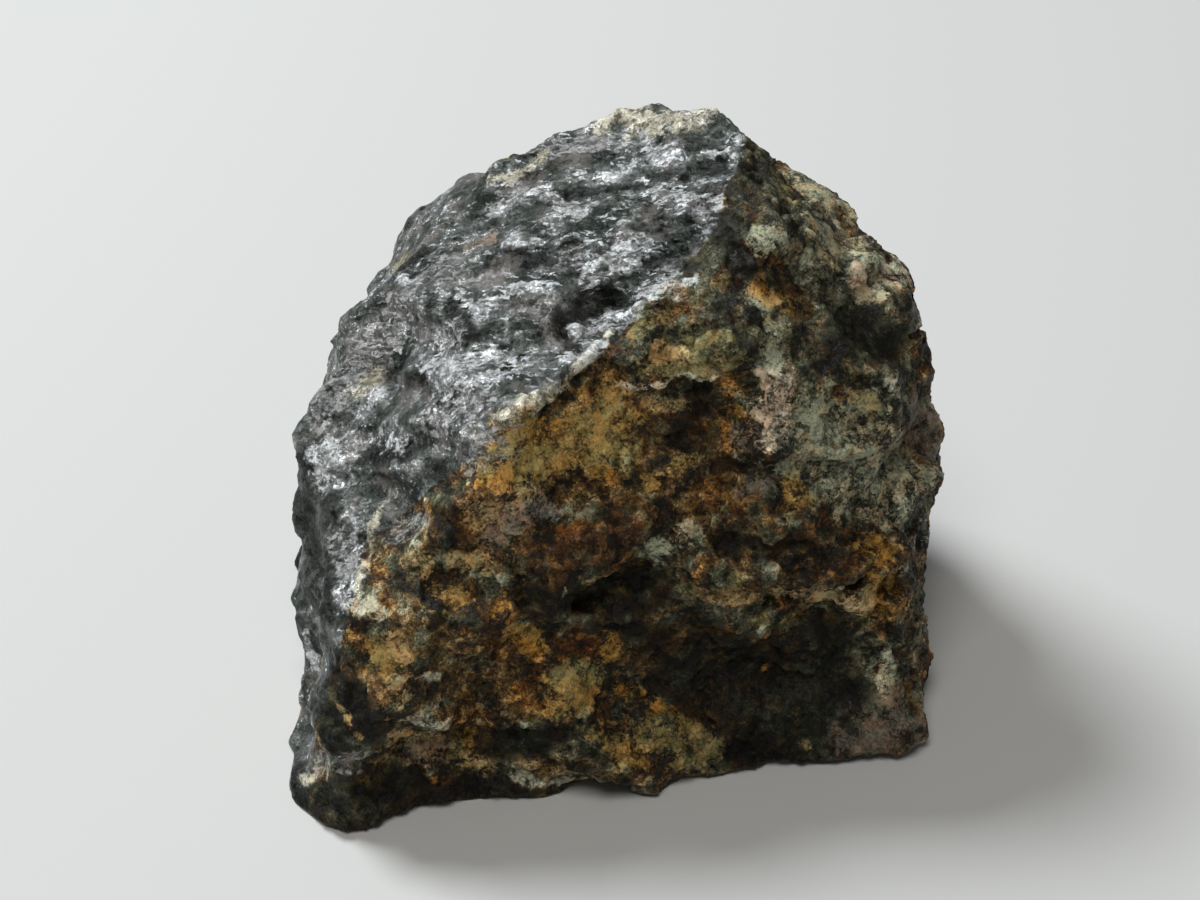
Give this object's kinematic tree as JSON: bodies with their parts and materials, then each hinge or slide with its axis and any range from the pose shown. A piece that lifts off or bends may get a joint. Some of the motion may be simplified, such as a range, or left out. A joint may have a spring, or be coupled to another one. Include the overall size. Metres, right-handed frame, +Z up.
{
  "type": "raw iolite",
  "caption": "Rough lump of iolite-bearing rock with a layered silvery face, a rusty granular front and a flat fracture to rest on.",
  "frame": {"origin": "middle of the stone's bounding box, on the plane of the flat foot it rests on", "axes": "+Z up from the foot, +X to the right and -Y towards the front, which is the rusty granular face"},
  "size_m": [0.0344, 0.0286, 0.0287],
  "materials": {
    "iolite_rock": "broken, greasy to glassy, with silvery mica and rusty stain"
  },
  "bodies": {
    "root": {"raw_iolite": "iolite_rock"}
  },
  "joints": []
}
